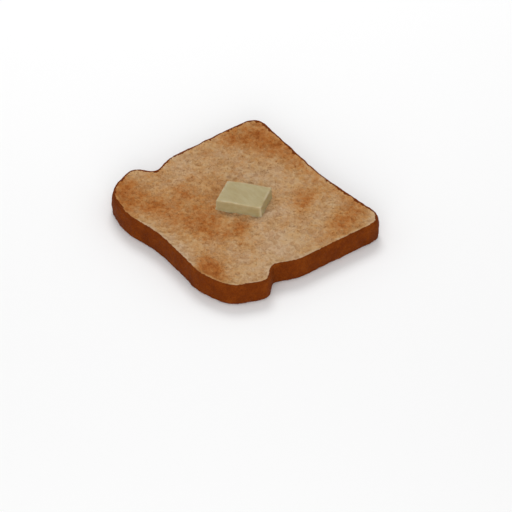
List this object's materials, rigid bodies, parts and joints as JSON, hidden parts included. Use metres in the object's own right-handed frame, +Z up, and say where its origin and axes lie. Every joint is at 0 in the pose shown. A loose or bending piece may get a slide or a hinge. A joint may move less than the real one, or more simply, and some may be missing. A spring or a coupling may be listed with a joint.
{
  "type": "buttered toast",
  "caption": "Slice of toasted sandwich bread lying flat, with rounded lobes at its domed end, a waist below them, a dark crust rim and a soft pat of butter on top.",
  "frame": {"origin": "on the surface that the slice lies on, under the middle of its box", "axes": "+Z up through the slice to the butter, -Y towards the domed end of the loaf, +Y towards its flat base, X across the slice"},
  "size_m": [0.122, 0.1112, 0.0188],
  "materials": {
    "toast": "dry toasted crumb, mottled golden tan and brown, with a dark brown crust",
    "butter": "soft satin fat, pale yellow and slightly see-through"
  },
  "bodies": {
    "root": {"toast_slice": "toast", "butter_pat": "butter"}
  },
  "joints": []
}
